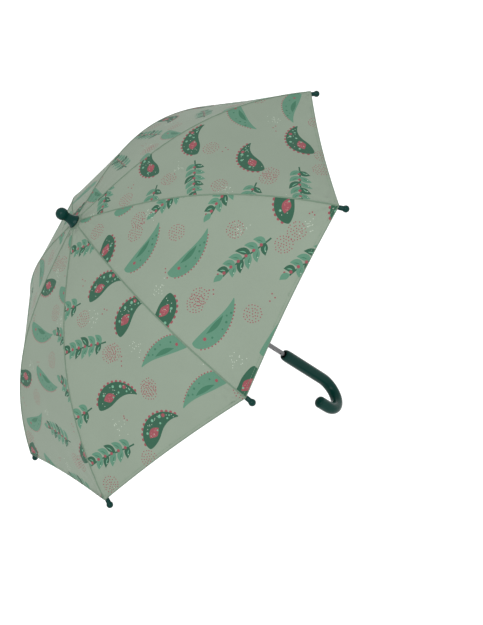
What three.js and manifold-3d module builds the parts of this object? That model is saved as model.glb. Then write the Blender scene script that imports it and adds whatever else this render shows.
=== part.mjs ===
// A child's stick umbrella, open: eight fluted ribs on a central shaft, a sliding
// runner, a hook handle and a domed fabric canopy. Millimetres, +Z up the shaft,
// origin on the shaft's axis at the middle of the grip, hook towards +X.
import * as THREE from "three";
import { mergeVertices } from "three/addons/utils/BufferGeometryUtils.js";
import Module from "manifold-3d";

const wasm = await Module();
wasm.setup();

// ---- driving dimensions ----
const RIBS = 8;
const FIRST_RIB = Math.PI / 8; // the hook's plane lies between two ribs
const CLEAR = 0.3; // running gap between neighbouring pieces

// canopy: height lost from the crown at radius r, along a rib
const APEX_Z = 479.3;
const DOME_R = 358.4;
const DROP = [70.1, -30.9, 139.3]; // linear, square and cube terms at the rim
const CLOTH_INNER_R = 13.2;
const CLOTH_RIM_R = 353.5;
const CLOTH_T = 1.3;
const PANEL_SAG = 1.05; // 1 is a flat panel between two ribs
const RIM_SCALLOP = 2;
const HALF_STEP = Math.PI / RIBS;

// shaft and handle
const SHAFT_R = 4;
const SHAFT_WALL = 0.7;
const SHAFT_Z = [9, 494];
const HANDLE_TOP = 45;
const HANDLE_R = 10;
const HOOK_R = 31.4;
const HOOK_START_Z = -50;
const HOOK_ARC = Math.PI;
const HOOK_TAIL = 17;
const SEAT_DEPTH = 0.4; // flat land inside the bend, where a rail bears
const MOUTH = 11; // length over which the handle narrows to its mouth round the shaft

// ball ferrule over the shaft's top
const BALL_Z = 501;
const BALL_R = 9;
const FERRULE_FOOT = 479;

// rib and stretcher linkage
const RIB_OFFSET = 4.2; // rib's centre line below the cloth's outer face
const PIVOT_R = 7.6; // pivot circle at the notch and at the runner
const LINK = 175; // notch to rivet, and rivet to runner
const RIB_W = 3.8;
const RIB_H = 3;
const RIB_WALL = 0.6;
const EYE_R = 2.2;
const EYE_T = 2;
const BAR_T = 1.8;
const BAR_H = 2.4;
const PIN_HOLE_R = 1;
const RIVET_R = 0.7;
const TIP_PARAM_R = 359.5;
const TIP_R = 4.7;
const TIP_SLEEVE = 9.1; // from the ball's centre back to the cloth's corner
const TIP_WIRE_R = 1.2;

// runner, measured down from its stretcher pivots
const RUNNER_BORE = SHAFT_R + CLEAR;
const SLEEVE_R = 6.1;
const RUNNER_FOOT = 78;
const FLANGE_R = 9.4;
const SLOT_W = 2.6;

// tie strap and its stud, on the cloth behind the hook
const STRAP_RIB = 4;
const STRAP = { length: 102, width: 21, startR: 262, lean: 0.36, side: 13, t: 0.9, lift: 0.5 };
const STUD_FROM_END = 12;

// ---- canopy and rib curves ----
const drop = (r) => {
  const s = r / DOME_R;
  return DROP[0] * s + DROP[1] * s ** 2 + DROP[2] * s ** 3;
};
const dropSlope = (r) => {
  const s = r / DOME_R;
  return (DROP[0] + 2 * DROP[1] * s + 3 * DROP[2] * s ** 2) / DOME_R;
};
// a point below the cloth on the rib's plane: [radius, height]
const underCloth = (r, depth) => {
  const m = dropSlope(r);
  const n = Math.hypot(1, m);
  return [r - (depth * m) / n, APEX_Z - drop(r) - depth / n];
};
const solve = (f, lo, hi) => {
  for (let i = 0; i < 60; i++) {
    const mid = (lo + hi) / 2;
    if (f(mid) < 0) lo = mid;
    else hi = mid;
  }
  return (lo + hi) / 2;
};
const notchParam = solve((r) => underCloth(r, RIB_OFFSET)[0] - PIVOT_R, 1, 40);
const NOTCH_Z = underCloth(notchParam, RIB_OFFSET)[1];
const fromNotch = (p) => Math.hypot(p[0] - PIVOT_R, p[1] - NOTCH_Z);
const rivetParam = solve((r) => fromNotch(underCloth(r, RIB_OFFSET)) - LINK, 60, 300);
const [RIVET_RAD, RIVET_Z] = underCloth(rivetParam, RIB_OFFSET);
const RUNNER_Z = 2 * RIVET_Z - NOTCH_Z; // equal links: the runner mirrors the notch
const [TIP_RAD, TIP_Z] = underCloth(TIP_PARAM_R, RIB_OFFSET);

// ---- materials ----
const paint = (color, roughness, metalness = 0) =>
  new THREE.MeshStandardMaterial({ color, roughness, metalness });
const plastic = () => paint(0x17443c, 0.28);
const steel = () => paint(0xb9bcc0, 0.32, 1);
const darkSteel = () => paint(0x8b8f93, 0.38, 1);
const palePlastic = () => paint(0xdfe2de, 0.4);
const fabric = () => paint(0x8fb59a, 0.85);

// ---- solids ----
const weld = (geometry) => {
  const g = geometry.index ? geometry.toNonIndexed() : geometry.clone();
  for (const name of Object.keys(g.attributes)) {
    if (name !== "position") g.deleteAttribute(name);
  }
  return mergeVertices(g, 1e-4);
};
const solid = (geometry) => {
  const g = weld(geometry);
  const mesh = new wasm.Mesh({
    numProp: 3,
    vertProperties: new Float32Array(g.attributes.position.array),
    triVerts: new Uint32Array(g.index.array),
  });
  mesh.merge();
  return new wasm.Manifold(mesh);
};
const surface = (manifold) => {
  const mesh = manifold.getMesh();
  const g = new THREE.BufferGeometry();
  g.setAttribute("position", new THREE.BufferAttribute(new Float32Array(mesh.vertProperties), 3));
  g.setIndex(Array.from(mesh.triVerts));
  return g;
};
const group = new THREE.Group();
const add = (name, geometry, material) => {
  const mesh = new THREE.Mesh(geometry, material);
  mesh.name = name;
  group.add(mesh);
};

// a solid of revolution about Z from [radius, height] pairs
const turned = (profile, sides = 24) => {
  const g = new THREE.LatheGeometry(profile.map(([r, z]) => new THREE.Vector2(r, z)), sides);
  return g.rotateX(Math.PI / 2);
};
const closed = (profile) => [...profile, profile[0]];
const ring = (rIn, rOut, zLow, zHigh, sides) =>
  turned(closed([[rIn, zLow], [rOut, zLow], [rOut, zHigh], [rIn, zHigh]]), sides);
const rod = (r, zLow, zHigh, sides) =>
  turned([[0, zLow], [r, zLow], [r, zHigh], [0, zHigh]], sides);
const block = (x, y, z) => {
  const g = new THREE.BoxGeometry(x[1] - x[0], y[1] - y[0], z[1] - z[0]);
  return g.translate((x[0] + x[1]) / 2, (y[0] + y[1]) / 2, (z[0] + z[1]) / 2);
};
// a flat plate in the XZ plane, centred on Y = 0
const plate = (points, thickness) => {
  const shape = new THREE.Shape(points.map(([x, z]) => new THREE.Vector2(x, z)));
  const g = new THREE.ExtrudeGeometry(shape, { depth: thickness, bevelEnabled: false });
  return g.rotateX(Math.PI / 2).translate(0, thickness / 2, 0);
};
// a cylinder along Y, about the point x, z
const crossPin = (r, length, x, z, sides = 10) =>
  rod(r, -length / 2, length / 2, sides).rotateX(Math.PI / 2).translate(x, 0, z);
const azimuth = (i) => FIRST_RIB + i * 2 * HALF_STEP;
const turnTo = (geometry, i) => geometry.clone().rotateZ(azimuth(i));

// ---- shaft, handle and crown ----
const catchSlot = (z) => block([0, SHAFT_R + 2], [-1.1, 1.1], [z - 9, z + 9]);
const TOP_CATCH_Z = RUNNER_Z - RUNNER_FOOT - 6;
const BOTTOM_CATCH_Z = HANDLE_TOP + 17;
const tube = solid(ring(SHAFT_R - SHAFT_WALL, SHAFT_R, SHAFT_Z[0], SHAFT_Z[1], 24))
  .subtract(solid(catchSlot(TOP_CATCH_Z)))
  .subtract(solid(catchSlot(BOTTOM_CATCH_Z)));
add("shaft", surface(tube), steel());

const gripPath = new THREE.CurvePath();
const hookCentre = new THREE.Vector3(HOOK_R, 0, HOOK_START_Z);
class Bend extends THREE.Curve {
  getPoint(t, target = new THREE.Vector3()) {
    const a = t * HOOK_ARC;
    return target.set(-HOOK_R * Math.cos(a), 0, -HOOK_R * Math.sin(a)).add(hookCentre);
  }
}
const bend = new Bend();
const bendEnd = bend.getPoint(1);
const tailEnd = bendEnd.clone().addScaledVector(bend.getTangent(1), HOOK_TAIL);
gripPath.add(new THREE.LineCurve3(new THREE.Vector3(0, 0, HANDLE_TOP - MOUTH), bend.getPoint(0)));
gripPath.add(bend);
gripPath.add(new THREE.LineCurve3(bendEnd, tailEnd));
const round = new THREE.Shape();
round.absarc(0, 0, HANDLE_R, 0, 2 * Math.PI);
const grip = new THREE.ExtrudeGeometry(round, {
  steps: 44, curveSegments: 10, bevelEnabled: false, extrudePath: gripPath,
});
const endCap = turned([[0, -3], [HANDLE_R - 0.2, -3], [HANDLE_R - 0.2, 0.6], [HANDLE_R - 0.9, 3],
  [HANDLE_R - 2.8, 5.2], [HANDLE_R - 5.6, 6.4], [0, 6.8]], 20);
endCap.rotateY(Math.PI - HOOK_ARC).translate(tailEnd.x, 0, tailEnd.z);
const mouth = turned([[0, HANDLE_TOP - MOUTH - 3], [HANDLE_R - 0.2, HANDLE_TOP - MOUTH - 3],
  [HANDLE_R - 0.2, HANDLE_TOP - MOUTH + 1], [9, HANDLE_TOP - 2.2], [8.2, HANDLE_TOP - 0.6],
  [7.4, HANDLE_TOP], [0, HANDLE_TOP]], 24);
const seatZ = HOOK_START_Z - HOOK_R + HANDLE_R - SEAT_DEPTH;
const handle = solid(grip).add(solid(endCap)).add(solid(mouth))
  .subtract(solid(rod(SHAFT_R + CLEAR, SHAFT_Z[0] - 0.5, HANDLE_TOP + 5, 24)))
  .subtract(solid(block([HOOK_R - 4, HOOK_R + 4], [-6, 6], [seatZ, seatZ + 6])));
add("handle", surface(handle), plastic());

// the upper part of a ball's outline, from the angle given up to its pole on the axis
const ballOutline = (radius, fromDeg, steps, centreZ = 0) => {
  const arc = [];
  for (let k = 0; k < steps; k++) {
    const u = ((fromDeg + ((90 - fromDeg) * k) / steps) * Math.PI) / 180;
    arc.push([radius * Math.cos(u), centreZ + radius * Math.sin(u)]);
  }
  return [...arc, [0, centreZ + radius]];
};
const ferrule = turned([[0, SHAFT_Z[1] + 0.6], [SHAFT_R + CLEAR, SHAFT_Z[1] + 0.6],
  [SHAFT_R + CLEAR, FERRULE_FOOT], [9.9, FERRULE_FOOT], [10.2, FERRULE_FOOT + 1],
  [8.4, FERRULE_FOOT + 3.6], [7.1, FERRULE_FOOT + 7], [6.5, FERRULE_FOOT + 11],
  ...ballOutline(BALL_R, -44, 10, BALL_Z)], 24);
add("ferrule", ferrule, plastic());

const washerArc = (depth) => [SHAFT_R + CLEAR, 8.5, CLOTH_INNER_R - 0.8]
  .map((r) => [r, APEX_Z - drop(r) - depth]);
const washer = turned(closed([...washerArc(1.2), ...washerArc(0).reverse()]), 24);
add("crown_washer", washer, fabric());

// notch: a slotted collar with an outer groove for the wire the ribs turn on
const radialSlots = (body, depthR, zLow, zHigh) => {
  for (let i = 0; i < RIBS; i++) {
    const cut = block([depthR, 14], [-SLOT_W / 2, SLOT_W / 2], [zLow, zHigh]);
    body = body.subtract(solid(turnTo(cut, i)));
  }
  return body;
};
const NOTCH_TOP = NOTCH_Z + 2.5;
const notchBody = solid(ring(SHAFT_R + CLEAR, 9.3, NOTCH_Z - 3.6, NOTCH_TOP, 32))
  .subtract(solid(ring(PIVOT_R - 1, 12, NOTCH_Z - 0.9, NOTCH_Z + 0.9, 32)));
add("top_notch", surface(radialSlots(notchBody, 5.1, NOTCH_Z - 8, NOTCH_TOP + 2)), palePlastic());
const notchWire = new THREE.TorusGeometry(PIVOT_R, 0.55, 6, 40).translate(0, 0, NOTCH_Z);
add("notch_wire", weld(notchWire), darkSteel());

// ---- runner and its two catches ----
const rz = (below) => RUNNER_Z - below;
const runnerBody = solid(turned(closed([[RUNNER_BORE, rz(RUNNER_FOOT)],
  [9.1, rz(RUNNER_FOOT)], [9.5, rz(RUNNER_FOOT - 1)], [9.2, rz(RUNNER_FOOT - 3)],
  [6.6, rz(RUNNER_FOOT - 8)], [5.9, rz(RUNNER_FOOT - 11)], [5.9, rz(65.6)], [7.5, rz(65)],
  [7.5, rz(63.2)], [SLEEVE_R, rz(62.6)], [SLEEVE_R, rz(5.6)], [FLANGE_R, rz(3.6)],
  [FLANGE_R, rz(-3.4)], [8.6, rz(-4.2)], [RUNNER_BORE, rz(-4.2)]]), 32));
const keyway = block([0, SHAFT_R + 1.6], [-1.2, 1.2], [rz(RUNNER_FOOT) - 2, rz(-8)]);
const keyed = runnerBody.subtract(solid(keyway));
add("runner", surface(radialSlots(keyed, SLEEVE_R, rz(8), rz(-8))), palePlastic());

// a leaf inside the shaft whose nose stands out through the slot; flip puts the step below
const catchLeaf = (z, flip) => {
  const outline = [[-0.6, -8], [2.9, -8], [2.9, -6], [SHAFT_R + 1.3, 4.4],
    [SHAFT_R + 1.3, 5.6], [2.9, 5.6], [2.9, 8], [-0.6, 8]];
  const points = flip ? outline.map(([x, y]) => [x, -y]).reverse() : outline;
  return plate(points, 1.5).translate(0, 0, z);
};
add("top_catch", weld(catchLeaf(TOP_CATCH_Z, false)), darkSteel());
add("bottom_catch", weld(catchLeaf(BOTTOM_CATCH_Z, true)), darkSteel());

// ---- ribs ----
class UnderClothCurve extends THREE.Curve {
  constructor(from, to) {
    super();
    this.from = from;
    this.to = to;
  }
  getPoint(t, target = new THREE.Vector3()) {
    const [r, z] = underCloth(this.from + (this.to - this.from) * t, RIB_OFFSET);
    return target.set(r, 0, z);
  }
}
// the fluted rib's section: web against the cloth, open towards the shaft
const halfW = RIB_W / 2;
const halfH = RIB_H / 2;
const insideW = halfW - RIB_WALL;
const flute = new THREE.Shape([[-halfW, -halfH], [halfW, -halfH], [halfW, halfH],
  [insideW, halfH], [insideW, -halfH + RIB_WALL], [-insideW, -halfH + RIB_WALL],
  [-insideW, halfH], [-halfW, halfH]].map(([x, y]) => new THREE.Vector2(x, y)));
const channel = (from, to, steps) => new THREE.ExtrudeGeometry(flute, {
  steps, bevelEnabled: false, extrudePath: new UnderClothCurve(from, to),
});
const slopeAngle = (r) => Math.atan(dropSlope(r));
const along = (r, ahead, up) => {
  const [x, z] = underCloth(r, RIB_OFFSET);
  const a = slopeAngle(r);
  return [x + ahead * Math.cos(a) + up * Math.sin(a), z - ahead * Math.sin(a) + up * Math.cos(a)];
};
const disc = (radius, thickness, x, z) => crossPin(radius, thickness, x, z, 12);

const innerRib = () => {
  const start = notchParam + 5.5;
  const neck = plate([along(notchParam, 0, -1.4), along(notchParam, 0, 1.4),
    along(notchParam, 8.5, 1.3), along(notchParam, 8.5, -1.3)].reverse(), EYE_T);
  let rib = solid(channel(start, rivetParam + 0.6, 7))
    .add(solid(disc(EYE_R, EYE_T, PIVOT_R, NOTCH_Z)))
    .add(solid(neck));
  for (const side of [-1, 1]) {
    const ear = disc(2.4, RIB_WALL, RIVET_RAD, RIVET_Z).translate(0, side * (halfW - RIB_WALL / 2), 0);
    rib = rib.add(solid(ear));
  }
  const web = plate([along(notchParam, 7, -0.9), along(notchParam, 7, 1.45),
    along(notchParam, 10.5, 1.45), along(notchParam, 10.5, -0.9)].reverse(), RIB_W - 0.2);
  return rib.add(solid(web))
    .subtract(solid(disc(2.25, 2 * insideW, RIVET_RAD, RIVET_Z)))
    .subtract(solid(crossPin(PIN_HOLE_R, 8, PIVOT_R, NOTCH_Z)))
    .subtract(solid(crossPin(PIN_HOLE_R, 8, RIVET_RAD, RIVET_Z)));
};
const outerRib = () => {
  const wire = rod(TIP_WIRE_R, -TIP_SLEEVE - 3, 2, 10).rotateY(Math.PI / 2 + slopeAngle(TIP_PARAM_R));
  wire.translate(TIP_RAD, 0, TIP_Z);
  return solid(channel(rivetParam + 3.5, TIP_PARAM_R - 7, 10)).add(solid(wire));
};
const tipBall = () => {
  const bore = TIP_WIRE_R + CLEAR;
  const ball = turned([[0, 2.4], [bore, 2.4], [bore, -TIP_SLEEVE], [3, -TIP_SLEEVE],
    [3.3, -TIP_SLEEVE + 1], [3.3, -4.2], ...ballOutline(TIP_R, -45, 5)], 12);
  ball.rotateY(Math.PI / 2 + slopeAngle(TIP_PARAM_R));
  return ball.translate(TIP_RAD, 0, TIP_Z);
};
const stretcherBar = () => {
  const dx = RIVET_RAD - PIVOT_R;
  const dz = RIVET_Z - RUNNER_Z;
  const bar = block([0, LINK], [-BAR_T / 2, BAR_T / 2], [-BAR_H / 2, BAR_H / 2]);
  bar.rotateY(-Math.atan2(dz, dx)).translate(PIVOT_R, 0, RUNNER_Z);
  return solid(bar)
    .add(solid(disc(1.9, BAR_T, RIVET_RAD, RIVET_Z)))
    .add(solid(disc(1.3, BAR_T, PIVOT_R, RUNNER_Z)))
    .subtract(solid(crossPin(PIN_HOLE_R, 8, RIVET_RAD, RIVET_Z)));
};
const rivetPin = () => {
  const half = RIB_W / 2 + CLEAR;
  const head = half + 0.6;
  const pin = turned([[0, -head], [1.5, -head], [1.5, -half], [RIVET_R, -half],
    [RIVET_R, half], [1.5, half], [1.5, head], [0, head]], 10);
  return pin.rotateX(Math.PI / 2).translate(RIVET_RAD, 0, RIVET_Z);
};
const perRib = [
  [(i) => `rib_${i}_inner`, surface(innerRib()), steel],
  [(i) => `rib_${i}_outer`, surface(outerRib()), steel],
  [(i) => `rib_tip_${i}`, tipBall(), plastic],
  [(i) => `stretcher_${i}`, surface(stretcherBar()), steel],
  [(i) => `rivet_${i}`, rivetPin(), darkSteel],
];
for (const [name, geometry, material] of perRib) {
  for (let i = 0; i < RIBS; i++) add(name(i + 1), turnTo(geometry, i), material());
}

// ---- canopy: eight sections, each on its rib and half a panel wide on either side ----
// off is the angle from the rib; R is the radius of the same height on the rib
const clothPoint = (R, off) => {
  const rho = R * (Math.cos(HALF_STEP) / Math.cos(HALF_STEP - Math.abs(off))) ** PANEL_SAG;
  return new THREE.Vector3(rho * Math.cos(off), rho * Math.sin(off), APEX_Z - drop(R));
};
const clothNormal = (R, off) => {
  const e = 0.5;
  const lo = Math.max(off - e / R, -HALF_STEP);
  const hi = Math.min(off + e / R, HALF_STEP);
  const across = clothPoint(R, hi).sub(clothPoint(R, lo));
  const down = clothPoint(R + e, off).sub(clothPoint(R - e, off));
  return down.cross(across).normalize();
};
const rimRadius = (off) => {
  const v = (HALF_STEP - Math.abs(off)) / HALF_STEP;
  return CLOTH_RIM_R - RIM_SCALLOP * (1 - v * v);
};
// the cloth's round centre hole, as rib radius
const holeRadius = (off) =>
  CLOTH_INNER_R * (Math.cos(HALF_STEP - Math.abs(off)) / Math.cos(HALF_STEP)) ** PANEL_SAG;
const clothShell = (cols, rows) => {
  const g = new THREE.BoxGeometry(1, 1, 1, rows, cols, 1);
  const p = g.attributes.position;
  for (let k = 0; k < p.count; k++) {
    const off = 2 * HALF_STEP * p.getY(k);
    const R = THREE.MathUtils.lerp(holeRadius(off), rimRadius(off), p.getX(k) + 0.5);
    const trim = Math.sign(off) * Math.min(Math.abs(off), HALF_STEP - 0.2 / R);
    const at = clothPoint(R, trim)
      .addScaledVector(clothNormal(R, trim), p.getZ(k) > 0 ? 0 : -CLOTH_T);
    p.setXYZ(k, at.x, at.y, at.z);
  }
  return weld(g);
};
for (let i = 0; i < RIBS; i++) {
  add(`canopy_section_${i + 1}`, turnTo(clothShell(8, 10), i), fabric());
}

// ---- tie strap on the canopy behind the hook, with its press stud ----
const strapPoint = (a, b, height) => {
  const R = STRAP.startR + a * 0.78;
  const across = STRAP.side + a * Math.sin(STRAP.lean) + b;
  const off = across / R;
  return clothPoint(R, off).addScaledVector(clothNormal(R, off), height);
};
const strap = new THREE.BoxGeometry(1, 1, 1, 10, 2, 1);
const sp = strap.attributes.position;
for (let k = 0; k < sp.count; k++) {
  const a = (sp.getX(k) + 0.5) * STRAP.length;
  const at = strapPoint(a, sp.getY(k) * STRAP.width,
    STRAP.lift + (sp.getZ(k) > 0 ? STRAP.t : 0));
  sp.setXYZ(k, at.x, at.y, at.z);
}
add("tie_strap", turnTo(weld(strap), STRAP_RIB), fabric());
const studAt = strapPoint(STRAP.length - STUD_FROM_END, 0, STRAP.lift + STRAP.t + CLEAR);
const studUp = clothNormal(STRAP.startR + 70, (STRAP.side + 30) / (STRAP.startR + 70));
const stud = turned([[0, 0], [5, 0], [5, 0.9], [3.6, 1.8], [0, 1.8]], 16);
stud.applyQuaternion(new THREE.Quaternion().setFromUnitVectors(new THREE.Vector3(0, 0, 1), studUp));
add("strap_stud", turnTo(stud.translate(studAt.x, studAt.y, studAt.z), STRAP_RIB), palePlastic());

export default group;
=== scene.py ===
import math
import random

import bpy
import numpy as np
from mathutils import Matrix, Vector
from mathutils.geometry import delaunay_2d_cdt


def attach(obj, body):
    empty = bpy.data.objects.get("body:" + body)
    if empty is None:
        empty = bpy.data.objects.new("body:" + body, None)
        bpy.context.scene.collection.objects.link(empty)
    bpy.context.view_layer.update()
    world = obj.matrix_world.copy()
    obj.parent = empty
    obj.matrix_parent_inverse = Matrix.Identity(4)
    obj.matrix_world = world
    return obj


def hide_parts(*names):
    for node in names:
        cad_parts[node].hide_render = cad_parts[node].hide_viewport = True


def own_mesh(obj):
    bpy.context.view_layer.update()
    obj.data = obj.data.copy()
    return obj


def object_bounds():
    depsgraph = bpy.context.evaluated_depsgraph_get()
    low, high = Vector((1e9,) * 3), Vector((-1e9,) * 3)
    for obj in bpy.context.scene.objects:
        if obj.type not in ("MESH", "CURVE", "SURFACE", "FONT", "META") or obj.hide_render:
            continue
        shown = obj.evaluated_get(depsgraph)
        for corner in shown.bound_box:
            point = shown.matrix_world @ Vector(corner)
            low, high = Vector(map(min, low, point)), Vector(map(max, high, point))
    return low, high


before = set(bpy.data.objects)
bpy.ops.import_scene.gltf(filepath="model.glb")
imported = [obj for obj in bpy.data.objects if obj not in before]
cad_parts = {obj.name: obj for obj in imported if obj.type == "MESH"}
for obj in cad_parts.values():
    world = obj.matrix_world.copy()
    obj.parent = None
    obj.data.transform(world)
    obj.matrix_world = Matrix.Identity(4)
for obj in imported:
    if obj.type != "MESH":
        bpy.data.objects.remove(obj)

cad_lo, cad_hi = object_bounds()
MM = 0.001

# ---- the dome, as the frame has it (mm) ----
RIBS = 8
HALF = math.pi / RIBS  # half the angle between two ribs
FIRST = math.pi / 8  # the angle of rib 1
APEX_Z = 479.3
DOME_R = 358.4
DROP = (70.1, -30.9, 139.3)  # a rib's drop below the apex, as a cubic in r / DOME_R
HOLE_R = 4.9  # where the cloth starts, clamped under the ferrule's foot
PATCH_R = 13.4  # edge of the crown patch
RIM_R = 353.5  # the rim at a rib
SAG = 1.05  # 1 is cloth straight from rib to rib, and more sinks between them
SCALLOP = 2.0  # how far the rim is drawn in at a panel's middle
PUCKER = 0.3  # height of the puckers along the seams and the hem
FOLD = 1.8  # height of the folds at the corners and the crown, before they fade
RIB_OFFSET = 4.2  # a rib's axis below the cloth
PIVOT_R = 7.6  # the notch's wire ring
LINK = 175.0  # notch to rivet
TIP_PARAM_R = 359.5  # where on the rib's curve the ball of its tip is centred


def drop(r):
    s = r / DOME_R
    return DROP[0] * s + DROP[1] * s**2 + DROP[2] * s**3


def drop_slope(r):
    s = r / DOME_R
    return (DROP[0] + 2 * DROP[1] * s + 3 * DROP[2] * s**2) / DOME_R


def under_cloth(r, depth):
    """Radius and height of the point this deep below the cloth, square to a rib's curve at r."""
    m = drop_slope(r)
    n = math.hypot(1, m)
    return r - depth * m / n, APEX_Z - drop(r) - depth / n


def solve(f, lo, hi):
    """The zero of a rising function between lo and hi."""
    for _ in range(50):
        mid = (lo + hi) / 2
        lo, hi = (mid, hi) if f(mid) < 0 else (lo, mid)
    return (lo + hi) / 2


def rib_line(r):
    return under_cloth(r, RIB_OFFSET)


NOTCH_Z = rib_line(solve(lambda r: rib_line(r)[0] - PIVOT_R, 1, 40))[1]
RIVET_R = solve(
    lambda r: math.hypot(rib_line(r)[0] - PIVOT_R, rib_line(r)[1] - NOTCH_Z) - LINK, 60, 300)

# distance along a rib from the crown, worked out once for both directions
radii = np.linspace(0, 365, 731)
arcs = np.concatenate([[0], np.cumsum(np.hypot(np.diff(radii), np.diff(drop(radii))))])


def arc_of(r):
    return np.interp(r, radii, arcs)


def radius_at(arc):
    return np.interp(arc, arcs, radii)


# the same places as distances from the crown
A_HOLE, A_PATCH, A_RIVET, A_RIM = (arc_of(r) for r in (HOLE_R, PATCH_R, RIVET_R, RIM_R))


def across(R):
    """Half the width of a panel at rib radius R."""
    return R * math.sin(HALF)


def rim_radius(dm):
    """The rim's rib radius at an angle dm from a panel's middle."""
    return RIM_R - SCALLOP * (1 - (dm / HALF) ** 2)


def cloth(panel, R, dm, lift=0.0):
    """Points of the outer face of a panel, metres: R is the rib radius of the same height, dm
    the angle from the panel's middle. lift raises them along the surface's normal."""
    def at(R, dm):
        rho = R * (math.cos(HALF) / np.cos(dm)) ** SAG
        a = FIRST + panel * 2 * HALF + HALF + dm
        return np.stack([rho * np.cos(a), rho * np.sin(a), APEX_Z - drop(R)], -1)
    n = np.cross(at(R + 0.5, dm) - at(R - 0.5, dm),
                 at(R, np.minimum(dm + 0.01, HALF)) - at(R, np.maximum(dm - 0.01, -HALF)))
    n /= np.linalg.norm(n, axis=-1, keepdims=True)
    return (at(R, dm) + np.asarray(lift)[..., None] * n) * MM


def pucker(panel, a, b):
    """How far the sewn cloth is drawn up beside a seam and above the hem, mm."""
    from_seam = across(radius_at(a)) - np.abs(b)
    phase = 1.7 * panel + 0.9 * (b > 0)
    wave = np.sin(a / 3.1 + phase) + 0.6 * np.sin(a / 5.3 + 2 * phase)
    seam = PUCKER * wave * np.exp(-((from_seam - 5) / 6) ** 2)
    hem = PUCKER * np.sin(b / 3.7 + phase) * np.exp(-((A_RIM - a - 9) / 6) ** 2)
    # folds fanning out from where the corners are pulled to the rib tips
    reach = np.hypot(A_RIM - a, from_seam)
    fan = np.arctan2(from_seam, A_RIM - a)
    corner = FOLD * np.sin(11 * fan + phase) * (reach / 30) * np.exp(-reach / 30)
    # and from where the cloth is gathered at the crown
    crown = 0.6 * FOLD * np.sin(26 * b / (a + 8) + phase) * np.exp(-a / 45)
    clear_of_patch = np.clip((a - A_PATCH + 5) / 6, 0, 1)
    return (seam + hem + corner + crown) * np.clip(from_seam / 3, 0, 1) * clear_of_patch


def to_surface(panel, a, b, lift=0.0):
    """Panel's flat pattern to its place: a along from the crown, b sideways from the middle, mm."""
    a, b = np.asarray(a, float), np.asarray(b, float)
    R = radius_at(a)
    dm = np.clip(np.arctan2(b, np.maximum(R, 1e-6) * math.cos(HALF)), -HALF, HALF)
    return cloth(panel, R, dm, lift + pucker(panel, a, b))


# ---- colours and materials ----
def lin(r, g, b):
    """An sRGB colour of 0 to 255 as linear RGBA."""
    def f(c):
        c /= 255
        return c / 12.92 if c <= 0.04045 else ((c + 0.055) / 1.055) ** 2.4
    return (f(r), f(g), f(b), 1.0)


SAGE = lin(123, 135, 121)
MID_GREEN = lin(80, 120, 100)
DARK_GREEN = lin(44, 82, 64)
LEAF_SHADE = lin(56, 102, 80)
LIGHT_GREEN = lin(100, 146, 122)
PINK = lin(130, 69, 75)
PALE_PINK = lin(156, 100, 102)
OFF_WHITE = lin(172, 182, 168)
# a plain green darker than the cloth: painted shade for the shadow along the seams and in the hem's
# fold, also used on the crown patch
TRIM_PAINTED_SHADE = lin(100, 118, 102)
THREAD = lin(104, 128, 108)
TEAL = lin(6, 47, 42)


class Nodes:
    """A new material and the nodes that feed its Principled shader."""

    def __init__(self, name):
        self.mat = bpy.data.materials.new(name)
        self.mat.use_nodes = True
        self.t = self.mat.node_tree
        self.bsdf = self.t.nodes["Principled BSDF"]
        self.coords = self.new("ShaderNodeTexCoord").outputs["Object"]

    def new(self, kind):
        return self.t.nodes.new(kind)

    def link(self, a, b):
        self.t.links.new(a, b)

    def set(self, **values):
        for k, v in values.items():
            self.bsdf.inputs[k.replace("_", " ")].default_value = v

    def bump(self, height, strength):
        """Relief from a height in metres."""
        b = self.new("ShaderNodeBump")
        b.inputs["Strength"].default_value = strength
        b.inputs["Distance"].default_value = 1.0
        self.link(height, b.inputs["Height"])
        self.link(b.outputs["Normal"], self.bsdf.inputs["Normal"])

    def noise(self, scale, detail, rough, vector=None):
        n = self.new("ShaderNodeTexNoise")
        n.inputs["Scale"].default_value = scale
        n.inputs["Detail"].default_value = detail
        n.inputs["Roughness"].default_value = rough
        self.link(vector or self.coords, n.inputs["Vector"])
        return n.outputs["Fac"]

    def remap(self, value, lo, hi):
        """A value of 0 to 1 carried to lo to hi."""
        m = self.new("ShaderNodeMapRange")
        for k, v in (("From Min", 0.0), ("From Max", 1.0), ("To Min", lo), ("To Max", hi)):
            m.inputs[k].default_value = v
        self.link(value, m.inputs["Value"])
        return m.outputs["Result"]

    def math(self, op, a, b):
        m = self.new("ShaderNodeMath")
        m.operation = op
        for i, v in enumerate((a, b)):
            if isinstance(v, (int, float)):
                m.inputs[i].default_value = v
            else:
                self.link(v, m.inputs[i])
        return m.outputs[0]

    def scaled(self, colour, factor):
        """A colour times a grey factor."""
        m = self.new("ShaderNodeVectorMath")
        m.operation = "SCALE"
        self.link(colour, m.inputs[0])
        self.link(factor, m.inputs["Scale"])
        return m.outputs[0]

    def colour(self, rgba):
        c = self.new("ShaderNodeRGB")
        c.outputs[0].default_value = rgba
        return c.outputs[0]


WEAVE_PITCH = 0.00045  # from thread to thread, metres, as the UVs are


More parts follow.
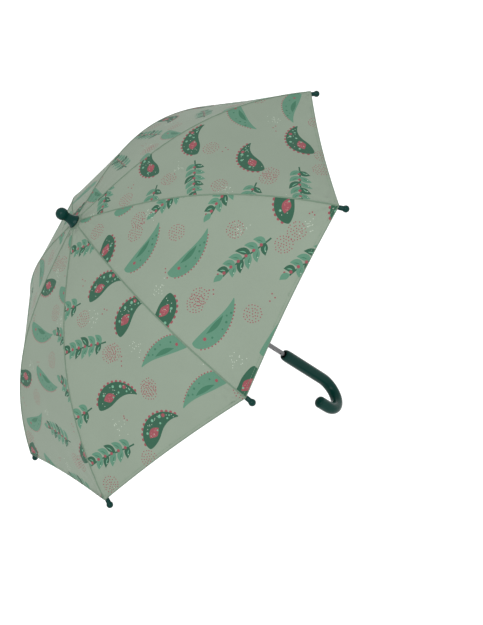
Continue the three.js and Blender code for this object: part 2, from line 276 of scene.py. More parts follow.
def cloth_material(name, colour=None):
    """Plain-weave cloth, in one colour or with the mesh's own print."""
    n = Nodes(name)
    if colour:
        base = n.colour(colour)
    else:
        att = n.new("ShaderNodeAttribute")
        att.attribute_name = "print"
        base = att.outputs["Color"]
    uv = n.new("ShaderNodeUVMap")
    uv.uv_map = "pattern"
    sep = n.new("ShaderNodeSeparateXYZ")
    n.link(uv.outputs["UV"], sep.inputs[0])
    warp, weft = (n.math("SINE", n.math("MULTIPLY", sep.outputs[k], 2 * math.pi / WEAVE_PITCH), 0)
                  for k in ("X", "Y"))
    weave = n.math("MULTIPLY", warp, weft)
    broad = n.noise(9, 3, 0.55)
    fine = n.noise(900, 2, 0.6)
    shade = n.math("ADD", n.remap(broad, 0.93, 1.06), n.math("MULTIPLY", weave, 0.035))
    shade = n.math("ADD", shade, n.remap(fine, -0.03, 0.03))
    n.link(n.scaled(base, shade), n.bsdf.inputs["Base Color"])
    n.link(n.remap(fine, 0.62, 0.82), n.bsdf.inputs["Roughness"])
    n.set(Sheen_Weight=0.05, Sheen_Roughness=0.45, Specular_IOR_Level=0.12)
    crease = n.math("MULTIPLY", n.noise(55, 4, 0.6), 0.0006)
    n.bump(n.math("ADD", n.math("MULTIPLY", weave, 0.00004), crease), 0.6)
    return n.mat


def plastic_material(name, colour, rough, shine=0.17):
    n = Nodes(name)
    tone = n.remap(n.noise(40, 3, 0.5), 0.95, 1.06)
    n.link(n.scaled(n.colour(colour), tone), n.bsdf.inputs["Base Color"])
    n.link(n.remap(n.noise(60, 4, 0.6), rough - 0.02, rough + 0.05), n.bsdf.inputs["Roughness"])
    n.set(Specular_IOR_Level=shine)
    n.bump(n.math("MULTIPLY", n.noise(45, 3, 0.5), 0.00006), 0.4)
    return n.mat


def steel_material(name, value, rough, stretch=(60, 60, 3)):
    """Drawn steel, whose streaks run along the axis that is stretched least."""
    n = Nodes(name)
    m = n.new("ShaderNodeMapping")
    m.inputs["Scale"].default_value = stretch
    n.link(n.coords, m.inputs["Vector"])
    streak = n.noise(14, 5, 0.6, m.outputs["Vector"])
    steel = n.colour((value, value, value * 1.02, 1))
    n.link(n.scaled(steel, n.remap(streak, 0.82, 1.1)), n.bsdf.inputs["Base Color"])
    n.link(n.remap(streak, rough - 0.06, rough + 0.12), n.bsdf.inputs["Roughness"])
    n.set(Metallic=1.0)
    n.bump(n.math("MULTIPLY", streak, 0.00006), 0.5)
    return n.mat


M_CLOTH = cloth_material("canopy_cloth")
# the trim cloth's darker green is painted shade along the seams, in the hem's fold and on the crown
# patch
M_TRIM_PAINTED_SHADE = cloth_material("trim_cloth_painted_shade", TRIM_PAINTED_SHADE)
M_PLAIN = cloth_material("plain_cloth", SAGE)
M_TEAL = plastic_material("teal_plastic", TEAL, 0.2, shine=0.09)
M_PALE = plastic_material("pale_plastic", lin(214, 218, 210), 0.42)
M_STEEL = steel_material("rib_steel", 0.4, 0.3, (30, 30, 30))
M_SHAFT = steel_material("shaft_steel", 0.13, 0.24)
M_WIRE = steel_material("dark_steel", 0.24, 0.36, (40, 40, 40))
M_THREAD = plastic_material("thread", THREAD, 0.75)


def paint_node(node, mat):
    """A frame node's finish, with its round faces shaded smooth and its corners kept."""
    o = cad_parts[node]
    o.data.materials.clear()
    o.data.materials.append(mat)
    o.data.polygons.foreach_set("use_smooth", [True] * len(o.data.polygons))
    weld = o.modifiers.new("weld", "WELD")
    weld.merge_threshold = 1e-6
    corners = o.modifiers.new("corners", "EDGE_SPLIT")
    corners.split_angle = math.radians(35)


def new_mesh(name, verts, faces, mat, smooth=True):
    me = bpy.data.meshes.new(name)
    me.from_pydata([tuple(v) for v in verts], [], [tuple(f) for f in faces])
    me.validate()
    me.materials.append(mat)
    if smooth:
        me.polygons.foreach_set("use_smooth", [True] * len(me.polygons))
    me.update()
    o = bpy.data.objects.new(name, me)
    bpy.context.scene.collection.objects.link(o)
    return o


def pattern_uv(o, uv):
    """Each vertex's place in the cloth's flat pattern, metres, which the weave follows."""
    layer = o.data.uv_layers.new(name="pattern")
    for loop in o.data.loops:
        layer.data[loop.index].uv = uv[loop.vertex_index]


# ---- camera ----
view_from = Vector((0.7109, 0.4604, 0.5317))  # towards the camera
view_right = Vector((0.0802, 0.6980, -0.7116))
view_up = view_from.cross(view_right)
camera_at = Vector((1.0677, 0.7158, 0.4873 + APEX_Z * MM))
cam_data = bpy.data.cameras.new("camera")
cam_data.sensor_width = 36
cam_data.sensor_fit = "AUTO"
cam_data.lens = 54.44
cam = bpy.data.objects.new("camera", cam_data)
bpy.context.scene.collection.objects.link(cam)
basis = Matrix((view_right, view_up, view_from)).transposed()
cam.matrix_world = Matrix.Translation(camera_at) @ basis.to_4x4()
bpy.context.scene.camera = cam


# ---- the print: leaf pods, sprigs and dots, in a panel's flat pattern ----
def place(points, at, turn, size=1.0):
    c, s = math.cos(turn), math.sin(turn)
    return [(at[0] + size * (x * c - y * s), at[1] + size * (x * s + y * c)) for x, y in points]


def dot(r, at=(0, 0), sides=7):
    turns = [k * 2 * math.pi / sides for k in range(sides)]
    return [(at[0] + r * math.cos(t), at[1] + r * math.sin(t)) for t in turns]


def band(spine, width, steps=22):
    """Outline of a shape of varying width about a curved spine, both functions of 0..1."""
    left, right = [], []
    for k in range(steps + 1):
        u = (1 - math.cos(math.pi * k / steps)) / 2  # closer together at the ends
        x, y = spine(u)
        x2, y2 = spine(min(u + 0.01, 1))
        x1, y1 = spine(max(u - 0.01, 0))
        d = math.hypot(x2 - x1, y2 - y1)
        nx, ny = -(y2 - y1) / d, (x2 - x1) / d
        wl, wr = width(u)
        left.append((x + nx * wl, y + ny * wl))
        right.append((x - nx * wr, y - ny * wr))
    return left + right[::-1][1:-1] if width(0)[0] < 0.05 else left + right[::-1]


def arc_spine(length, bend):
    def f(u):
        a = bend * (u - 0.5)
        r = length / bend
        return r * math.sin(a), r * (1 - math.cos(a))
    return f


def beside(spine, u, off):
    """The point at u of a spine, moved off to the right of its direction."""
    x, y = spine(u)
    x2, y2 = spine(u + 0.01)
    d = math.hypot(x2 - x, y2 - y)
    return x + (y2 - y) / d * off, y - (x2 - x) / d * off


def swell(width, lean):
    """A width that swells from 0 and back, with its widest place moved by lean."""
    return lambda u: width * math.sin(math.pi * u**lean)


def two_sided(left, right, least=0.0):
    """Widths for band: left and right of the spine, and never less than least."""
    return lambda u: (left(u) + least, right(u) + least)


def spots(spine, reach, colour, places):
    """Round spots at shares of a spine's length, with their offsets as shares of reach."""
    return [(dot(r, (spine(u)[0], spine(u)[1] + side * reach)), colour) for u, side, r in places]


def pod(rng):
    """A dark curled pod: scalloped pink back, speckled pink window, pale spots."""
    spine = arc_spine(62, 1.9)
    wide = two_sided(swell(11.5, 0.62), swell(9.5, 0.75), 0.6)
    shapes = []
    for k in range(13):  # scallops along the outer edge
        u = 0.08 + 0.86 * k / 12
        shapes.append((dot(1.9, beside(spine, u, wide(u)[1] + 0.4)), PINK))
    shapes.append((band(spine, wide), DARK_GREEN))
    window = band(arc_spine(17, 0.5), two_sided(swell(5.6, 1), swell(4.6, 1)), 12)
    shapes.append(([(x - 9, y + 4.5) for x, y in window], PINK))
    for _ in range(11):
        at = (-9 + rng.uniform(-6, 6), 5.2 + rng.uniform(-2.8, 2.8))
        shapes.append((dot(0.55, at, 5), PALE_PINK))
    shapes += spots(spine, 11, LIGHT_GREEN, (
        (0.5, -0.45, 1.7), (0.58, 0.3, 1.3), (0.66, -0.3, 1.9), (0.76, 0.2, 1.2),
        (0.24, -0.35, 1.5), (0.84, -0.1, 1.0), (0.44, 0.55, 1.1)))
    x, y = spine(0.72)
    shapes.append((dot(2.3, (x + 1, y - 2.4)), PINK))
    for _ in range(14):
        u = rng.uniform(0.12, 0.9)
        x, y = spine(u)
        shapes.append((dot(0.5, (x, y + rng.uniform(-0.7, 0.6) * wide(u)[0]), 5), OFF_WHITE))
    return shapes


def leaf(_):
    """A mid green tapering leaf with a fine pink dotted back and a darker belly."""
    spine = arc_spine(66, -1.15)
    wide = two_sided(swell(10.5, 0.55), swell(8.0, 0.8), 0.5)
    shapes = []
    for k in range(17):
        u = 0.1 + 0.8 * k / 16
        shapes.append((dot(1.0, beside(spine, u, -wide(u)[0] - 0.5), 6), PINK))
    shapes.append((band(spine, wide), MID_GREEN))
    belly = band(arc_spine(26, -0.5), two_sided(swell(2.6, 1), swell(3.0, 1)), 12)
    shapes.append(([(x - 2, y - 3.6) for x, y in belly], LEAF_SHADE))
    shapes += spots(spine, 10, LEAF_SHADE, (
        (0.62, 0.3, 1.4), (0.7, -0.05, 1.1), (0.78, 0.25, 1.3), (0.5, 0.45, 1.0), (0.3, 0.4, 1.2)))
    x, y = spine(0.2)
    shapes.append((dot(1.9, (x, y + 1)), PINK))
    return shapes


def leaflet(root, aim, length, width):
    """One leaf of a sprig, from its root, pointing along aim."""
    def spine(u):
        return length * u, 0.1 * length * math.sin(math.pi * u)
    wide = swell(width, 0.8)
    return place(band(spine, two_sided(wide, wide), 12), root, aim)


def sprig(_):
    """A curved stem with paired leaves, pink berries along one side and white flecks."""
    def spine(u):
        return 62 * (u - 0.5), 8 * math.sin(2.4 * (u - 0.4))
    shapes = [(band(spine, lambda u: (0.9, 0.9), 20), DARK_GREEN)]
    for k in range(6):
        u = 0.12 + 0.15 * k
        root = spine(u)
        size = 17 - 1.5 * abs(k - 2)
        for side in (-1, 1):
            if k == 5 and side < 0:
                continue
            aim = side * (0.95 - 0.05 * k) + 0.25
            dark = (k + (side > 0)) % 3 == 0
            blade, line = (DARK_GREEN, LIGHT_GREEN) if dark else (MID_GREEN, LEAF_SHADE)
            shapes.append((leaflet(root, aim, size, 3.9), blade))
            vein, mid = place([(0.25 * size, 0), (0.55 * size, 0)], root, aim)
            shapes.append((leaflet(vein, aim, size * 0.5, 0.55), line))
            if side > 0:
                shapes.append((dot(1.9, (root[0] + 4.5, root[1] + 2.2)), PINK))
                shapes.append((dot(1.3, (mid[0] + 5.5, mid[1] + 1.0), 6), PINK))
            else:
                shapes.append((dot(0.6, (mid[0] + 1, mid[1] - 1), 5), OFF_WHITE))
    tip = spine(0.99)
    shapes.append((leaflet(tip, 0.35, 12, 3.6), MID_GREEN))
    return shapes


def dotted_ball(rng):
    """A round of dots in three uneven rings."""
    shapes = [(dot(0.95, (0, 0), 5), PINK)]
    for ring, count in ((3.9, 6), (7.7, 12), (11.6, 18)):
        for k in range(count):
            a = 2 * math.pi * (k + rng.uniform(-0.2, 0.2)) / count
            r = ring + rng.uniform(-0.7, 0.7)
            shapes.append((dot(0.95, (r * math.cos(a), r * math.sin(a)), 5), PINK))
    return shapes


def crumbs(rng):
    return [(dot(1.15, (x + rng.uniform(-1, 1), y + rng.uniform(-1, 1)), 6), PINK)
            for x, y in ((0, 0), (5.5, 2.2), (3, 7.5))]


def snow(rng):
    return [(dot(0.6, (rng.gauss(0, 5.5), rng.gauss(0, 5.5)), 5), OFF_WHITE) for _ in range(16)]


MOTIF = 1.24  # size of the large motifs
ROW_PITCH = 74
PITCH = 92  # from motif to motif along a row
PRINT_MARGIN = 40  # rows start this far outside the panel, which then cuts them
WIDEST = 405  # just past the rim, where a row is as wide as it gets


def panel_print(panel):
    """Shapes on a panel, cut from one printed cloth whose rows run across the panel."""
    rng = random.Random(100 + panel)
    shapes = []
    row, a = panel % 2, 34 + 17 * ((panel * 5) % 3)
    while a < A_RIM + PRINT_MARGIN:
        half = across(radius_at(min(a, WIDEST))) + PRINT_MARGIN
        b = -half + (panel * 31 + row * PITCH // 2) % PITCH
        col = panel * 2 + row
        while b < half:
            kind = (pod, leaf, sprig)[(col + 2 * row) % 3]
            turn = rng.uniform(-0.35, 0.35) + (0 if (col + row) % 2 else math.pi)
            at = (a + rng.uniform(-5, 5), b + rng.uniform(-6, 6))
            for pts, colour in kind(rng):
                shapes.append((place([(y, x) for x, y in pts], at, turn, MOTIF), colour))
            side = (at[0] + rng.uniform(30, 36), at[1] + rng.uniform(30, 48) * rng.choice((-1, 1)))
            for pts, colour in dotted_ball(rng):
                shapes.append((place(pts, side, 0), colour))
            extra = (at[0] - 27, at[1] + 34 * rng.choice((-1, 1)))
            for pts, colour in (crumbs if (col + row) % 2 else snow)(rng):
                shapes.append((place(pts, extra, rng.uniform(0, 6)), colour))
            b += PITCH
            col += 1
        a += ROW_PITCH
        row += 1
    return shapes


# ---- canopy: each panel is meshed with its print, then parted at its middle and at the rivets ----
SIDE_STEPS = 40
RIM_STEPS = 34
GRID = 9.0  # spacing of the mesh's own points
SEAM_ROWS = (3, 7, 12)  # further points at these distances from a seam, for its puckers
SEAM_STEP = 4.2


def panel_outline():
    side = [(a, across(radius_at(a))) for a in np.linspace(A_HOLE, A_RIM, SIDE_STEPS + 1)]
    rim = []
    for k in range(1, RIM_STEPS):
        b = across(RIM_R) * (1 - 2 * k / RIM_STEPS)
        dm = math.atan2(b, RIM_R * math.cos(HALF))
        rim.append((arc_of(rim_radius(dm)), b))
    return side + rim + [(a, -b) for a, b in side[::-1]]


def mesh_panel(panel):
    """A panel's flat mesh points, and its coloured triangles keyed by (b > 0, past the rivets)."""
    verts, edges, faces, colours = [], [], [], []

    def chain(points, close):
        start = len(verts)
        verts.extend(Vector(p) for p in points)
        n = len(points)
        edges.extend((start + k, start + (k + 1) % n) for k in range(n if close else n - 1))
        return list(range(start, start + n))

    chain(panel_outline(), True)
    chain([(A_HOLE - 1 + (A_RIM + 2 - A_HOLE) * k / 40, 0) for k in range(41)], False)
    half = across(RIVET_R)
    chain([(A_RIVET, -half + 2 * half * k / 16) for k in range(17)], False)
    for a in np.arange(A_HOLE + 4, A_RIM, GRID):
        width = across(radius_at(a))
        count = max(2, round(2 * width / GRID))
        verts.extend(Vector((a, -width + 2 * width * k / count)) for k in range(1, count))
    for a in np.arange(A_HOLE + 2, A_RIM - 2, SEAM_STEP):
        width = across(radius_at(a))
        for inset in SEAM_ROWS:
            if inset < width - 2:
                verts.extend(Vector((a, side * (width - inset))) for side in (-1, 1))
    for pts, colour in panel_print(panel):
        if all(p[0] < A_HOLE or p[0] > A_RIM or abs(p[1]) > across(radius_at(p[0])) for p in pts):
            continue
        turn = sum(p[0] * q[1] - q[0] * p[1] for p, q in zip(pts, pts[1:] + pts[:1]))
        faces.append(chain(pts if turn > 0 else pts[::-1], True))
        colours.append(colour)
    out = delaunay_2d_cdt(verts, edges, faces, 0, 1e-3, True)
    co = np.array([tuple(v) for v in out[0]])
    tri, ids = out[2], out[5]
    parts = {}
    for f, owners in zip(tri, ids):
        c = co[list(f)].mean(0)
        R = radius_at(c[0])
        dm = math.atan2(c[1], R * math.cos(HALF))
        if R < HOLE_R or abs(c[1]) > across(R) or R > rim_radius(dm):
            continue
        area = np.cross(co[f[1]] - co[f[0]], co[f[2]] - co[f[0]])
        if abs(area) < 1e-5:
            continue
        key = (c[1] > 0, c[0] > A_RIVET)
        top = max(owners) if owners else None
        parts.setdefault(key, []).append((f, None if top is None else colours[top]))
    return co, parts


def surface_normals(panel, flat):
    """Normals of the whole panel's surface, so that its parted pieces meet without an edge."""
    a, b = flat[:, 0], flat[:, 1]
    w = np.maximum(across(radius_at(a)), 1)
    down = to_surface(panel, a + 1, b) - to_surface(panel, a - 1, b)
    side = to_surface(panel, a, np.minimum(b + 1, w)) - to_surface(panel, a, np.maximum(b - 1, -w))
    n = np.cross(down, side)
    return n / np.maximum(np.linalg.norm(n, axis=1, keepdims=True), 1e-12)


def rib_axes(rib):
    """Unit vectors outward along a rib and sideways, towards the next rib."""
    az = FIRST + rib * 2 * HALF
    e = Vector((math.cos(az), math.sin(az), 0))
    return e, Vector((-math.sin(az), math.cos(az), 0))


def fold_axis(rib, side, outer):
    """The direction a half panel gathers along: its own crosswise direction with the part
    along the rib taken out, so the seam on the rib stays where it is."""
    e, _ = rib_axes(rib)
    z = Vector((0, 0, 1))
    r0, r1 = (RIVET_R, RIM_R) if outer else (HOLE_R, RIVET_R)
    chord = (e * (r1 - r0) - z * (drop(r1) - drop(r0))).normalized()
    seam = (e * r1 + z * (APEX_Z - drop(r1))) * MM
    half_panel = Vector(cloth(rib if side > 0 else (rib - 1) % RIBS, r1, 0.0)) - seam
    n = (half_panel - chord * half_panel.dot(chord)).normalized()
    up = chord.cross(n)
    return n, up if up.z > 0 else -up, seam


def fold_with_rib(piece, rib, side, outer):
    """Rides a cloth piece on its rib, works out the axis it would gather along, and gives it a mesh
    of its own.
    """
    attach(piece, f"rib_{rib + 1}_outer" if outer else f"rib_{rib + 1}")
    n, up, seam = fold_axis(rib, side, outer)
    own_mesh(piece)
    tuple(seam)


def half_name(rib, side):
    return f"{rib + 1}{'a' if side > 0 else 'b'}"


def canopy_piece(panel, co, tris, name):
    """The mesh of one part of a panel, its flat size in mm and its flat area in mm2."""
    used = sorted({i for f, _ in tris for i in f})
    index = {v: k for k, v in enumerate(used)}
    flat = co[used]
    faces, area = [], 0
    for f, _ in tris:
        q = [index[i] for i in f]
        doubled = np.cross(flat[q[1]] - flat[q[0]], flat[q[2]] - flat[q[0]])
        faces.append(q if doubled > 0 else q[::-1])
        area += abs(doubled) / 2
    o = new_mesh(name, to_surface(panel, flat[:, 0], flat[:, 1]), faces, M_CLOTH)
    me = o.data
    layer = me.color_attributes.new("print", "FLOAT_COLOR", "CORNER")
    colours = []
    for poly, (_, colour) in zip(me.polygons, tris):
        colours.extend((colour or SAGE) * len(poly.loop_indices))
    layer.data.foreach_set("color", colours)
    pattern_uv(o, flat * MM)
    me.normals_split_custom_set_from_vertices([tuple(n) for n in surface_normals(panel, flat)])
    return o, np.ptp(flat[:, 1]), np.ptp(flat[:, 0]), area


canopy_pieces = []
for panel in range(RIBS):
    co, parts = mesh_panel(panel)
    for (positive, outer), tris in parts.items():
        # the far side of the panel (b > 0) belongs to the next rib
        rib = (panel + 1) % RIBS if positive else panel
        side = -1 if positive else 1
        name = f"canopy_{'rim' if outer else 'top'}_{half_name(rib, side)}"
        canopy_pieces.append((rib, side, outer, *canopy_piece(panel, co, tris, name)))


# ---- what is sewn to the cloth: felled seams on the ribs, the hem, stitches ----
def grid(rows):
    """Verts and faces of a sheet through equal rows of points."""
    verts = [tuple(p) for row in rows for p in row]
    n = len(rows[0])
    faces = [(i * n + j, i * n + j + 1, (i + 1) * n + j + 1, (i + 1) * n + j)
             for i in range(len(rows) - 1) for j in range(n - 1)]
    return verts, faces


def ridge(rib, a, inset, lift):
    """Points beside a rib's seam: inset is the distance from it, positive towards the next rib."""
    w = across(radius_at(a))
    right = to_surface(rib, a, np.minimum(-w + max(inset, 0), 0), lift)
    left = to_surface((rib - 1) % RIBS, a, np.maximum(w - max(-inset, 0), 0), lift)
    return right if inset > 0 else left if inset < 0 else (right + left) / 2


STITCH = 3.1  # from stitch to stitch
STITCH_LENGTH = 2.1
THREAD_WIDTH = 0.5
THREAD_HEIGHT = 0.35


def stitch_row(points, ups, height=THREAD_HEIGHT):
    """Short raised threads centred on each point, along the row."""
    verts, faces = [], []
    for k in range(len(points)):
        ahead = points[min(k + 1, len(points) - 1)] - points[max(k - 1, 0)]
        ahead /= np.linalg.norm(ahead)
        sideways = np.cross(ups[k], ahead)
        base = len(verts)
        for x, rise in ((-0.5, 0.1), (-0.3, 0.9), (0.3, 0.9), (0.5, 0.1)):
            for y, up in ((-0.5, 0), (0, 1), (0.5, 0)):
                verts.append(points[k] + (ahead * x * STITCH_LENGTH + sideways * y * THREAD_WIDTH
                                          + ups[k] * (rise * up * height)) * MM)
        corners = [base + 3 * i + j for i in range(3) for j in range(2)]
        faces += [(c, c + 1, c + 4, c + 3) for c in corners]
    return verts, faces


SEAM_HALF = 1.15
THREAD_OFF = 0.55  # each row of stitches from the seam's middle
ALLOWANCE = 5.2
TIP_CLEAR = 14.0  # where the allowance ends before the rib tip
HEM_WIDTH = 5.0
# cross-sections: distance from the seam, or in from the cloth's edge, and lift above the cloth
seam_section = [(-SEAM_HALF, 0.12), (-0.8, 0.45), (0, 0.65), (0.8, 0.45), (SEAM_HALF, 0.12)]
allowance_section = [(-ALLOWANCE, -0.3), (-ALLOWANCE + 0.5, -0.85), (-1.5, -1.1), (1.5, -1.1),
                     (ALLOWANCE - 0.5, -0.85), (ALLOWANCE, -0.3)]
# the hem is turned to the inside, so only its fold shows past the cloth's edge
hem_section = [(0.9, 0.1), (0.2, 0.3), (-0.4, 0), (0.3, -0.35), (1.0, -0.5), (HEM_WIDTH, -0.45),
               (HEM_WIDTH + 0.3, -0.12)]

sewn = {}  # pieces by (rib, outer) for what is sewn along a rib, and (rib, side, "hem")
for rib in range(RIBS):
    for outer in (False, True):
        a0, a1 = (A_RIVET, A_RIM) if outer else (A_HOLE, A_RIVET)
        a = np.linspace(a0, a1, int((a1 - a0) / 3.4))
        pressed = np.clip((a - A_PATCH + 1) / 3, 0.2, 1)  # flat where the crown patch covers it
        rows = np.stack([ridge(rib, a, inset, lift * pressed) for inset, lift in seam_section], 1)
        body = f"rib_{rib + 1}_outer" if outer else f"rib_{rib + 1}"
        tag = f"{'rim' if outer else 'top'}_{rib + 1}"
        # the seam strip's darker green is painted shade along the rib
        seam = new_mesh(f"seam_{tag}", *grid(rows), M_TRIM_PAINTED_SHADE)
        pattern_uv(seam, [(x * MM, j * MM) for x in a for j in range(len(seam_section))])
        stitches = np.arange(max(a0, A_PATCH) + 2, a1 - 1, STITCH)
        e, _ = rib_axes(rib)
        m = drop_slope(radius_at(stitches))
        ups = np.stack([m * e.x, m * e.y, np.ones_like(m)], 1) / np.hypot(1, m)[:, None]
        for part, inset in (("l", -THREAD_OFF), ("r", THREAD_OFF)):
            points = ridge(rib, stitches, inset, 0.54)
            thread = new_mesh(f"thread_{tag}{part}", *stitch_row(points, ups), M_THREAD)
            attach(thread, body)
            sewn.setdefault((rib, outer), []).append(thread)
        # the seam's allowance, pressed open on the inside, over the rib
        b1 = a1 - TIP_CLEAR if outer else a1
        inside = np.linspace(a0, b1, int((b1 - a0) / 6))
        rows = np.stack([ridge(rib, inside, inset, lift) for inset, lift in allowance_section], 1)
        allowance = new_mesh(f"allowance_{tag}", *grid(rows), M_PLAIN)
        pattern_uv(allowance, [(x * MM, y * MM) for x in inside for y, _ in allowance_section])
        for piece in (seam, allowance):
            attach(piece, body)
            sewn.setdefault((rib, outer), []).append(piece)


def rim_point(panel, b, inset, lift):
    """Points in from the rim of a panel, at b from its middle."""
    dm = np.arctan2(b, RIM_R * math.cos(HALF))
    return to_surface(panel, arc_of(rim_radius(dm)) - inset, b, lift)


for panel in range(RIBS):
    for side in (-1, 1):
        # side 1 is the half next to the panel's own rib
        rib = panel if side > 0 else (panel + 1) % RIBS
        edge = across(RIM_R) * side
        b = np.linspace(-edge * 0.997, 0, 40)
        rows = np.stack([rim_point(panel, b, inset, lift) for inset, lift in hem_section], 1)
        verts, faces = grid(rows)
        tag = half_name(rib, side)
        # the hem's darker green is painted shade in its fold
        hem = new_mesh(f"hem_{tag}", verts, faces if side > 0 else [f[::-1] for f in faces], M_TRIM_PAINTED_SHADE)
        pattern_uv(hem, [(x * MM, j * MM) for x in b for j in range(len(hem_section))])
        stitches = np.arange(2.5, across(RIM_R) - 1, STITCH) * -side
        points = rim_point(panel, stitches, HEM_WIDTH - 0.8, 0.06)
        ups = (rim_point(panel, stitches, HEM_WIDTH - 0.8, 1.06) - points) / MM
        thread = new_mesh(f"hem_thread_{tag}", *stitch_row(points, ups), M_THREAD)
        for piece in (hem, thread):
            fold_with_rib(piece, rib, side, True)
            sewn.setdefault((rib, side, "hem"), []).append(piece)

for rib, side, outer, o, width, length, area in canopy_pieces:
    fold_with_rib(o, rib, side, outer)
    # the frame's own cloth section at each rib is hidden, once per rib
    if side > 0 and outer:
        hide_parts(f"canopy_section_{rib + 1}")


# ---- hard parts that need a finer surface than the frame's ----
def circle(sides):
    return np.linspace(0, 2 * math.pi, sides, endpoint=False)


def lathe(profile, sides=48, start=(0, 0, 0), axis=(0, 0, 1)):
    """A solid of revolution from (radius, height) pairs, mm, about an axis through start."""
    axis = Vector(axis).normalized()
    u = axis.orthogonal().normalized()
    v = axis.cross(u)
    return closed_rows([[(Vector(start) + axis * z + (u * math.cos(t) + v * math.sin(t)) * r) * MM
                         for t in circle(sides)] for r, z in profile])


def closed_rows(rows):
    """Skin over closed rings of points, with both ends capped."""
    n = len(rows[0])
    verts = [tuple(p) for row in rows for p in row]
    faces = [(i * n + j, i * n + (j + 1) % n, (i + 1) * n + (j + 1) % n, (i + 1) * n + j)
             for i in range(len(rows) - 1) for j in range(n)]
    faces += [tuple(range(n))[::-1], tuple(range(len(verts) - n, len(verts)))]
    return verts, faces


def ball_cap(radius, centre, from_deg, steps=14):
    """Outline of a ball from an angle up to just short of its pole."""
    return [(radius * math.cos(t), centre + radius * math.sin(t))
            for t in np.radians(np.linspace(from_deg, 89, steps))]


HANDLE_R = 10.0
HANDLE_TOP = 45.0
HOOK_R = 31.4
HOOK_START = -50.0
HOOK_TAIL = 17.0
CAP = 6.8  # how far the hook's rounded end reaches
STRAIGHT = HANDLE_TOP - HOOK_START


def grip_frame(s):
    """Centre and in-plane outward direction of the handle at distance s from its mouth."""
    if s < STRAIGHT:
        return Vector((0, 0, HANDLE_TOP - s)), Vector((1, 0, 0))
    turn = min((s - STRAIGHT) / HOOK_R, math.pi)
    centre = Vector((HOOK_R * (1 - math.cos(turn)), 0, HOOK_START - HOOK_R * math.sin(turn)))
    return (centre + Vector((0, 0, max(0, s - STRAIGHT - math.pi * HOOK_R))),
            Vector((math.cos(turn), 0, math.sin(turn))))


def make_handle():
    """The grip and hook, as (distance from the mouth, radius) pairs along their centre line."""
    length = STRAIGHT + math.pi * HOOK_R + HOOK_TAIL
    # in the mouth, over its rounded lip and out to the full thickness
    outline = [(9, 4.25), (3, 4.9), (0.9, 6.0), (0.15, 6.6), (0, 7.2), (0.35, 8.0), (1.4, 8.75),
               (3.4, 9.35), (6.5, 9.75), (10, 9.95)]
    outline += [(s, HANDLE_R) for s in np.arange(13, length, 2.5)]
    outline += [(length + CAP * math.sin(t), HANDLE_R * math.cos(t) ** 0.8)
                for t in np.radians(np.linspace(4, 88, 12))]
    rows = []
    for s, r in outline:
        centre, out = grip_frame(s)
        rows.append([(centre + (out * math.cos(t) + Vector((0, 1, 0)) * math.sin(t)) * r) * MM
                     for t in circle(48)])
    verts, faces = closed_rows(rows)
    return new_mesh("handle_grip", verts, [f[::-1] for f in faces], M_TEAL)


BALL_Z = 501.0
BALL_R = 9.0
FERRULE_FOOT = 479.0


def make_ferrule():
    # radius and height above the foot, from inside the bore over the flare to the neck
    neck = [(4.35, 3), (4.35, 0), (9.7, 0), (10.1, 0.35), (10.2, 1.0), (9.9, 1.7), (9.0, 2.8),
            (8.3, 4.0), (7.6, 5.8), (7.05, 8.0), (6.65, 10.5), (6.45, 13), (6.4, 14.6)]
    outline = [(r, FERRULE_FOOT + h) for r, h in neck] + ball_cap(BALL_R, BALL_Z, -42, 20)
    return new_mesh("ball_ferrule", *lathe(outline), M_TEAL)


TIP_R = 4.7
TIP_SLEEVE = 9.1
UNDER_CLOTH = 4.0  # how far a tip's sleeve reaches in below the cloth's corner


def make_tip(rib):
    e, _ = rib_axes(rib)
    r, z = under_cloth(TIP_PARAM_R, RIB_OFFSET)
    m = drop_slope(TIP_PARAM_R)
    axis = e - Vector((0, 0, m))
    sleeve = [(1.6, -TIP_SLEEVE - UNDER_CLOTH), (2.6, -TIP_SLEEVE - UNDER_CLOTH),
              (2.85, -TIP_SLEEVE - 3), (3.0, -TIP_SLEEVE), (3.25, -TIP_SLEEVE + 1), (3.25, -4.6),
              (3.4, -3.8)]
    start = e * r + Vector((0, 0, z))
    body = lathe(sleeve + ball_cap(TIP_R, 0, -42), 32, start, axis)
    tip = new_mesh(f"tip_cap_{rib + 1}", *body, M_TEAL)
    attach(tip, f"rib_{rib + 1}_outer")
    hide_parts(f"rib_tip_{rib + 1}")


for piece, node in ((make_handle(), "handle"), (make_ferrule(), "ferrule")):
    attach(piece, "frame")
    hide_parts(node)
for rib in range(RIBS):
    make_tip(rib)


BORE_R = 4.4  # hole for the shaft
RUFFLE = 0.18
RUFFLES = 24


def make_crown_patch():
    """The gathered middle of the cloth, with its small radial folds, under the ferrule's foot."""
    rows = []
    t = circle(192)
    for r, lift in ((BORE_R, 0.3), (7, 0.5), (9.5, 0.6), (11, 0.6), (12.2, 0.5), (PATCH_R, 0.15)):
        ruffle = RUFFLE * np.sin(RUFFLES * t) * min(1, r / 10)
        z = APEX_Z - drop(r) + lift + ruffle
        rows.append([Vector((r * math.cos(x), r * math.sin(x), h)) * MM for x, h in zip(t, z)])
    n = len(rows[0])
    verts = [tuple(p) for row in rows for p in row]
    faces = [(i * n + j, (i + 1) * n + j, (i + 1) * n + (j + 1) % n, i * n + (j + 1) % n)
             for i in range(len(rows) - 1) for j in range(n)]
    # the patch's darker green is the trim cloth's painted shade
    patch = new_mesh("crown_patch", verts, faces, M_TRIM_PAINTED_SHADE)
    pattern_uv(patch, [(v[0], v[1]) for v in verts])
    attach(patch, "frame")
    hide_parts("crown_washer")


make_crown_patch()

# ---- the closing strap, sewn to the cloth beside rib 5 ----
STRAP_RIB = 4
STRAP_LENGTH = 102
STRAP_WIDTH = 21
STRAP_START = 262  # rib radius of its sewn end
STRAP_SIDE = 13  # its middle there from the rib
STRAP_ALONG = 0.78  # share of its length that runs down the dome; the rest runs aside
STRAP_ASIDE = math.sin(0.36)
STRAP_LIFT = 0.5
STRAP_THICK = 0.9
STRAP_STEPS = 52


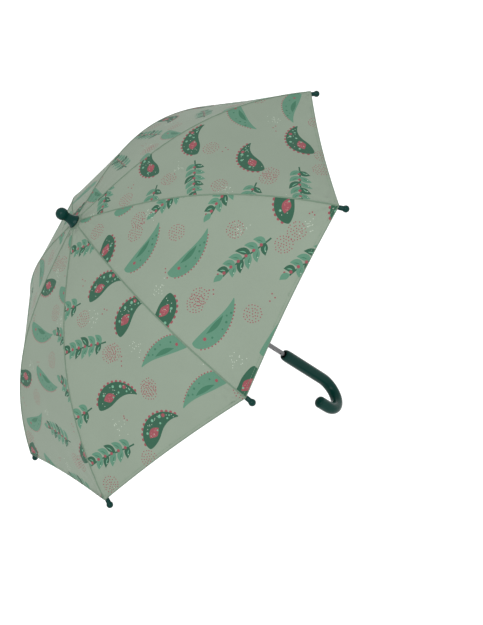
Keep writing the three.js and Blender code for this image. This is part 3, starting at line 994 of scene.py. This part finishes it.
def strap_point(a, b, height):
    """a along the strap, b across it, height above the cloth, on the side of the next rib."""
    R = STRAP_START + a * STRAP_ALONG
    off = (STRAP_SIDE + a * STRAP_ASIDE + b) / R
    return cloth(STRAP_RIB, R, off - HALF, height)


def make_strap():
    half = STRAP_WIDTH / 2
    lo, hi = STRAP_LIFT, STRAP_LIFT + STRAP_THICK
    middle = (lo + hi) / 2
    # across the band: a thick edge each side, and a groove where the stitches pull it in
    section = [(-half + 0.5, lo), (-half, middle), (-half + 0.5, hi), (-half + 2.6, hi - 0.12),
               (-half + 3.2, hi), (0, hi + 0.1), (half - 3.2, hi), (half - 2.6, hi - 0.12),
               (half - 0.5, hi), (half, middle), (half - 0.5, lo)]
    section.append(section[0])
    rows = []
    for a in np.linspace(0, STRAP_LENGTH, STRAP_STEPS):
        end = min(a, STRAP_LENGTH - a)
        narrow = math.sqrt(max(0.02, 1 - (1 - min(1, end / 4)) ** 2))
        rows.append([strap_point(a, b * (0.72 + 0.28 * narrow), middle + (h - middle) * narrow)
                     for b, h in section])
    verts, faces = grid(rows)
    faces += [tuple(range(len(section) - 1)),
              tuple(range(len(verts) - len(section), len(verts) - 1))[::-1]]
    strap = new_mesh("closing_strap", verts, [f[::-1] for f in faces], M_PLAIN)
    pattern_uv(strap, [(a * MM, b * MM) for a in np.linspace(0, STRAP_LENGTH, STRAP_STEPS)
                       for b, _ in section])
    stitches = np.arange(3, STRAP_LENGTH - 2, STITCH)
    threads = []
    for part, b in (("l", -half + 2.6), ("r", half - 2.6)):
        points = np.array([strap_point(a, b, hi) for a in stitches])
        ups = (np.array([strap_point(a, b, hi + 1) for a in stitches]) - points) / MM
        threads.append(new_mesh(f"strap_thread_{part}", *stitch_row(points, ups, 0.3), M_THREAD))
    for piece in (strap, *threads):
        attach(piece, f"rib_{STRAP_RIB + 1}_outer")
    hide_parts("tie_strap")


make_strap()

# ---- finishes of the nodes that are shown as the frame has them ----
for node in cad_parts:
    if node in ("runner", "top_notch", "strap_stud"):
        paint_node(node, M_PALE)
    elif node == "shaft":
        paint_node(node, M_SHAFT)
    elif node in ("notch_wire", "top_catch", "bottom_catch") or node.startswith("rivet"):
        paint_node(node, M_WIRE)
    elif node.startswith("stretcher") or node.endswith(("_inner", "_outer")):
        paint_node(node, M_STEEL)


# ---- floor and light ----
def floor_material():
    """Pale paint, with a little light of its own so that it is as white as the background."""
    n = Nodes("floor_paint")
    n.set(Base_Color=(0.93, 0.93, 0.93, 1), Roughness=0.9, Specular_IOR_Level=0.1,
          Emission_Color=(1, 1, 1, 1), Emission_Strength=0.22)
    return n.mat


FLOOR_DROP = 0.35
floor_z = cad_lo.z - FLOOR_DROP
floor = new_mesh("floor", [(-8, -8, floor_z), (8, -8, floor_z), (8, 8, floor_z), (-8, 8, floor_z)],
                 [(0, 1, 2, 3)], floor_material())
world = bpy.data.worlds.new("studio")
world.use_nodes = True
background = world.node_tree.nodes["Background"]
background.inputs["Color"].default_value = (1, 1, 1, 1)
background.inputs["Strength"].default_value = 1.0
bpy.context.scene.world = world


def area_light(name, at, towards, size, power):
    d = bpy.data.lights.new(name, "AREA")
    d.size, d.energy = size, power
    o = bpy.data.objects.new(name, d)
    o.location = at
    o.rotation_mode = "QUATERNION"
    o.rotation_quaternion = (Vector(at) - Vector(towards)).to_track_quat("Z", "Y")
    bpy.context.scene.collection.objects.link(o)


middle = (cad_lo + cad_hi) / 2
area_light("key", middle + Vector((1.5, 1.3, 2.0)), middle, 1.5, 30)
area_light("spark", middle + Vector((1.7, 0.4, 1.5)), middle, 0.22, 5)
area_light("fill", middle + Vector((0.6, -2.2, 1.0)), middle, 2.0, 6)
bpy.context.scene.view_settings.view_transform = "Standard"
